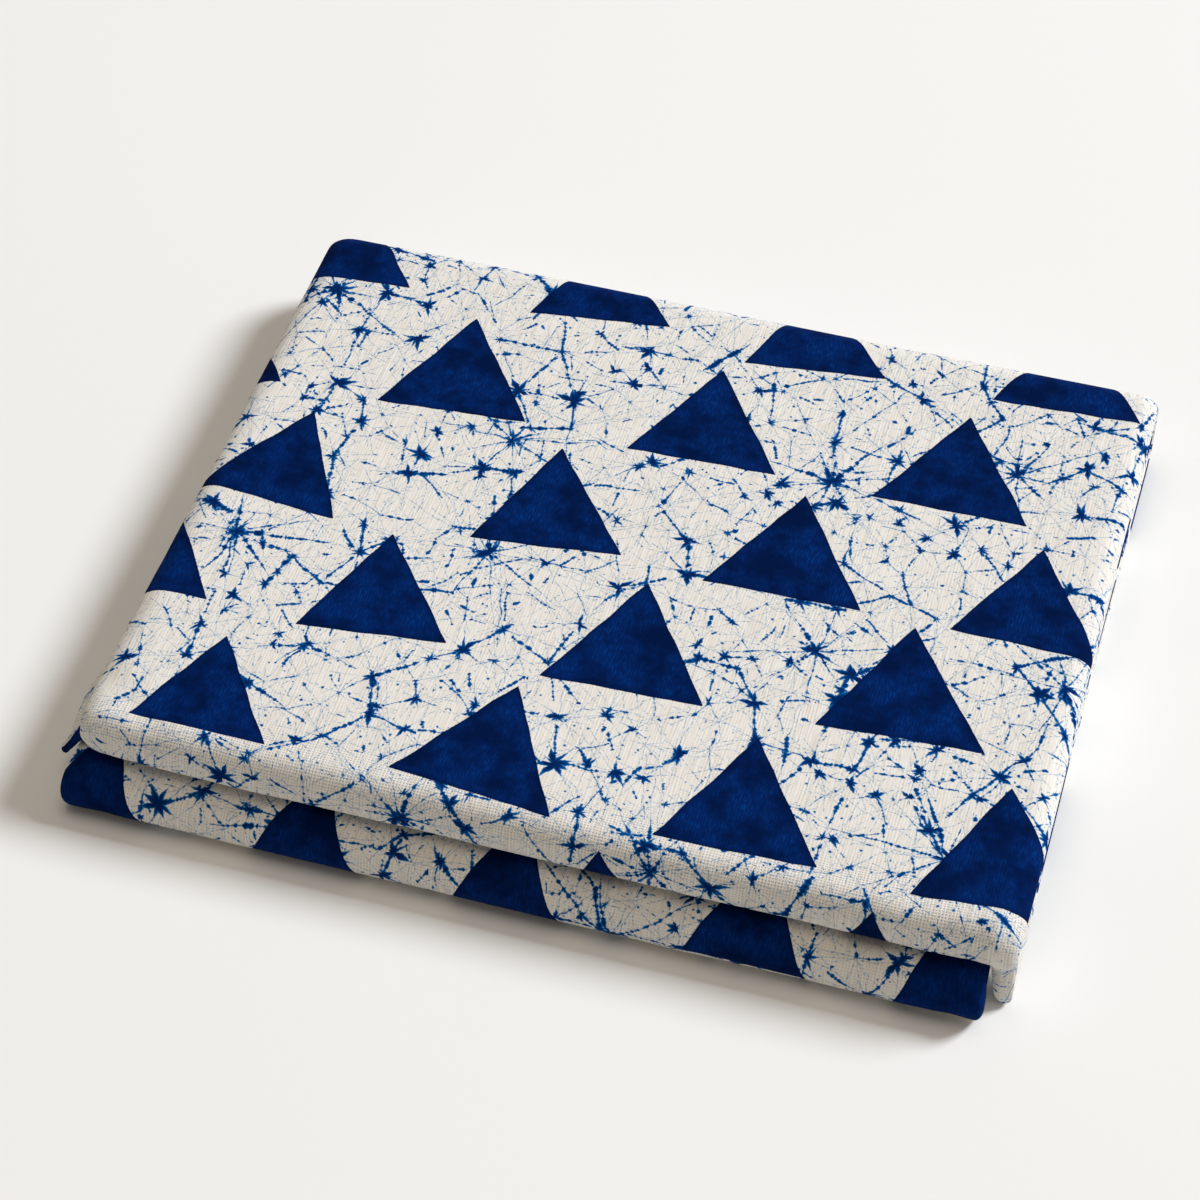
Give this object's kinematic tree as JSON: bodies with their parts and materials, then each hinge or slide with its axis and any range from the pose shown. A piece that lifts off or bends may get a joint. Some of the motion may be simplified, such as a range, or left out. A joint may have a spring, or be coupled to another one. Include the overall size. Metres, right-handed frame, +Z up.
{
  "type": "folded adire cloth",
  "caption": "Indigo resist-dyed plain-weave cotton cloth with scattered triangles and star crackle, folded into a flat rectangular packet that rests on its underside.",
  "frame": {"origin": "on the surface the cloth lies on, under the middle of the folded packet", "axes": "+X along the front folds, +Y from the front folds to the spine, +Z up through the layers"},
  "size_m": [0.3844, 0.325, 0.0428],
  "materials": {
    "dyed_cotton": "matt plain weave, off-white ground with deep indigo triangles and a blue star-shaped crackle"
  },
  "bodies": {
    "root": {"cloth": "dyed_cotton"}
  },
  "joints": []
}
